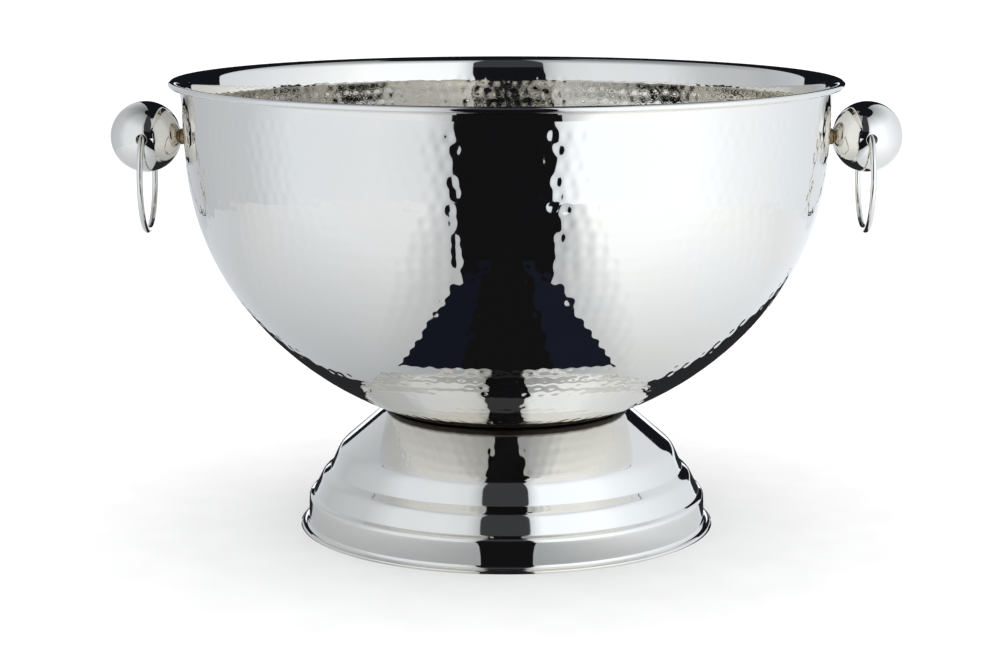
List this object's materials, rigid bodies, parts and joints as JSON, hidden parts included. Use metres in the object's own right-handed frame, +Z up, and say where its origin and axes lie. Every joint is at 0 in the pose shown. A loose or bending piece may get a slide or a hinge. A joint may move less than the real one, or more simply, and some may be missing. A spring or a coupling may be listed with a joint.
{
  "type": "footed champagne bucket",
  "caption": "Wide footed bowl in hammered, mirror-polished steel for chilling bottles in ice, with a ball knob and a swinging ring handle on each side.",
  "frame": {"origin": "on the bowl's axis, in the plane that the foot stands on", "axes": "+Z up the bowl's axis; +X from the axis to the right-hand knob; Y across, along the swing axes of both rings"},
  "size_m": [0.4448, 0.376, 0.2537],
  "materials": {
    "bowl_steel": "mirror polished, hammered in staggered rows outside, the dimples showing as bumps inside; smooth lip",
    "foot_steel": "mirror polished, smooth, spun",
    "knob_steel": "mirror polished, smooth",
    "ring_steel": "mirror polished wire",
    "collar_brass": "polished, slightly browned",
    "seal_rubber": "matt black",
    "fastener_steel": "machined stainless, lightly turned"
  },
  "bodies": {
    "bucket": {"bowl": "bowl_steel", "foot": "foot_steel", "base_stud": "fastener_steel", "clamp_plate": "fastener_steel", "lock_washer": "fastener_steel", "base_nut": "fastener_steel", "left_knob_ball": "knob_steel", "left_knob_stud": "fastener_steel", "left_knob_collar": "collar_brass", "left_seal_washer": "seal_rubber", "left_steel_washer": "fastener_steel", "left_cap_nut": "fastener_steel", "right_knob_ball": "knob_steel", "right_knob_stud": "fastener_steel", "right_knob_collar": "collar_brass", "right_seal_washer": "seal_rubber", "right_steel_washer": "fastener_steel", "right_cap_nut": "fastener_steel"},
    "left_ring": {"left_ring_handle": "ring_steel"},
    "right_ring": {"right_ring_handle": "ring_steel"}
  },
  "joints": [
    {"name": "left_ring_swing", "type": "hinge", "parent": "bucket", "child": "left_ring", "pos_m": [-0.2024, 0, 0.221], "axis": [0, 1, 0], "range_deg": [-30, 204]},
    {"name": "right_ring_swing", "type": "hinge", "parent": "bucket", "child": "right_ring", "pos_m": [0.2024, 0, 0.221], "axis": [0, -1, 0], "range_deg": [-30, 204]}
  ]
}
